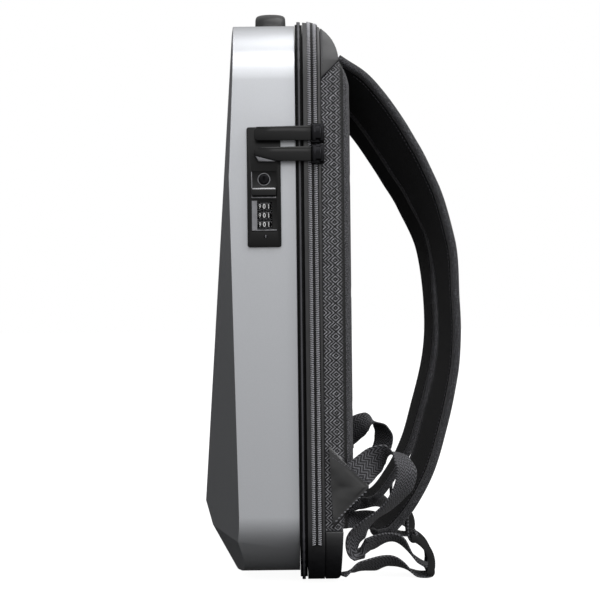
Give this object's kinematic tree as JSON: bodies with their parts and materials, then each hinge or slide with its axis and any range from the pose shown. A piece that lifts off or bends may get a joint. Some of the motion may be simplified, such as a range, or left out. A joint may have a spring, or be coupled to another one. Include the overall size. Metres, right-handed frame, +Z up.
{
  "type": "hard shell backpack",
  "caption": "Slim backpack with a faceted hard front shell, a zipped soft rear body, a side combination lock, a top handle and padded shoulder straps.",
  "frame": {"origin": "middle of the bounding box on the floor that the bag stands on", "axes": "+Z up, X across the width with the lock on the +X side, -Y the hard shell's front, +Y the wearer's side"},
  "size_m": [0.3228, 0.2254, 0.5007],
  "materials": {
    "shell": "satin silver polycarbonate",
    "rim": "black moulded sealing rim",
    "coated": "smooth coated fabric, black",
    "mesh": "charcoal air mesh over foam",
    "zipper": "black coil zipper",
    "webbing": "black woven webbing",
    "gloss": "gloss black",
    "moulded": "satin black moulded",
    "dial": "black dials with pale numbers",
    "handle": "soft black grip"
  },
  "bodies": {
    "bag": {"shell": "shell", "rim_gasket": "rim", "rear_tray": "coated", "top_cap": "coated", "bottom_cap": "coated", "back_panel": "mesh", "zipper_coil": "zipper", "zip_slider_upper": "gloss", "zip_pull_upper": "moulded", "zip_slider_lower": "gloss", "zip_pull_lower": "moulded", "lock_housing": "moulded", "carry_handle": "handle", "shoulder_strap_right": "mesh", "gusset_right": "coated", "webbing_right": "webbing", "buckle_web_right": "webbing", "ladder_lock_right": "moulded", "shoulder_strap_left": "mesh", "gusset_left": "coated", "webbing_left": "webbing", "buckle_web_left": "webbing", "ladder_lock_left": "moulded"},
    "dial_one": {"dial_1": "dial"},
    "dial_two": {"dial_2": "dial"},
    "dial_three": {"dial_3": "dial"},
    "key": {"key_plug": "gloss"},
    "button": {"release_button": "gloss"}
  },
  "joints": [
    {"name": "dial_one_turn", "type": "hinge", "parent": "bag", "child": "dial_one", "pos_m": [0.14582, -0.05509, 0.3177], "axis": [0, 0, 1], "continuous": true},
    {"name": "dial_two_turn", "type": "hinge", "parent": "bag", "child": "dial_two", "pos_m": [0.14582, -0.05509, 0.3102], "axis": [0, 0, 1], "continuous": true},
    {"name": "dial_three_turn", "type": "hinge", "parent": "bag", "child": "dial_three", "pos_m": [0.14582, -0.05509, 0.3027], "axis": [0, 0, 1], "continuous": true},
    {"name": "key_turn", "type": "hinge", "parent": "bag", "child": "key", "pos_m": [0.1518, -0.05509, 0.3403], "axis": [1, 0, 0], "range_deg": [0, 90]},
    {"name": "button_press", "type": "slide", "parent": "bag", "child": "button", "axis": [-1, 0, 0], "range_m": [0, 0.0016], "stiffness_N_per_m": 200}
  ]
}
